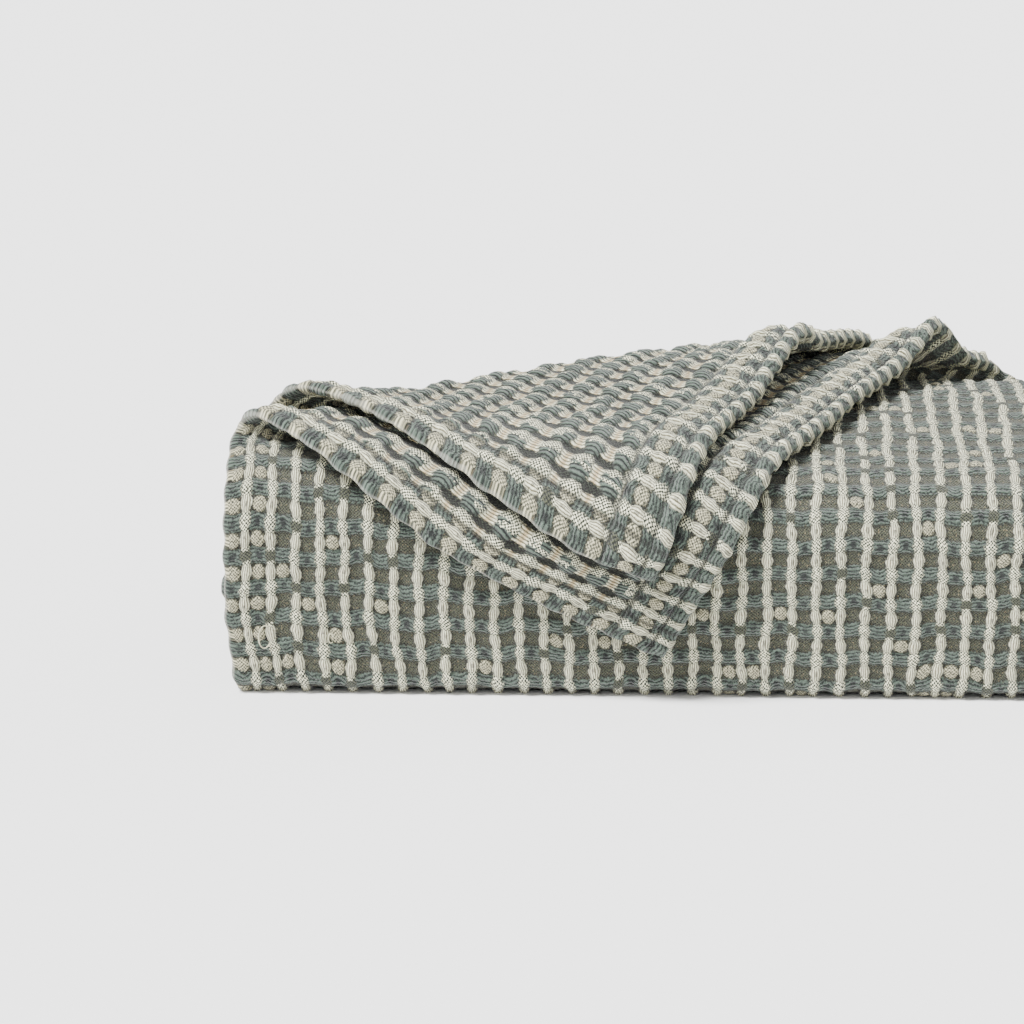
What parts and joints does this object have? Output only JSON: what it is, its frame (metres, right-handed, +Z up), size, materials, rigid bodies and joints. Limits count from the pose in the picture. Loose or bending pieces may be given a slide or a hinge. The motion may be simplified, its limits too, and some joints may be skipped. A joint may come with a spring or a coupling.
{
  "type": "folded cotton blanket",
  "caption": "Waffle weave cotton blanket folded into a flat stack, with the corner of its top plies turned back over the front.",
  "frame": {"origin": "centre of the underside, on the surface that the folded blanket rests on", "axes": "+X to the right along the long front edge, +Y from the front wall towards the back folds, +Z up"},
  "size_m": [0.4076, 0.2686, 0.1188],
  "materials": {
    "cotton": "matte"
  },
  "bodies": {
    "root": {"waffle_blanket": "cotton"}
  },
  "joints": []
}
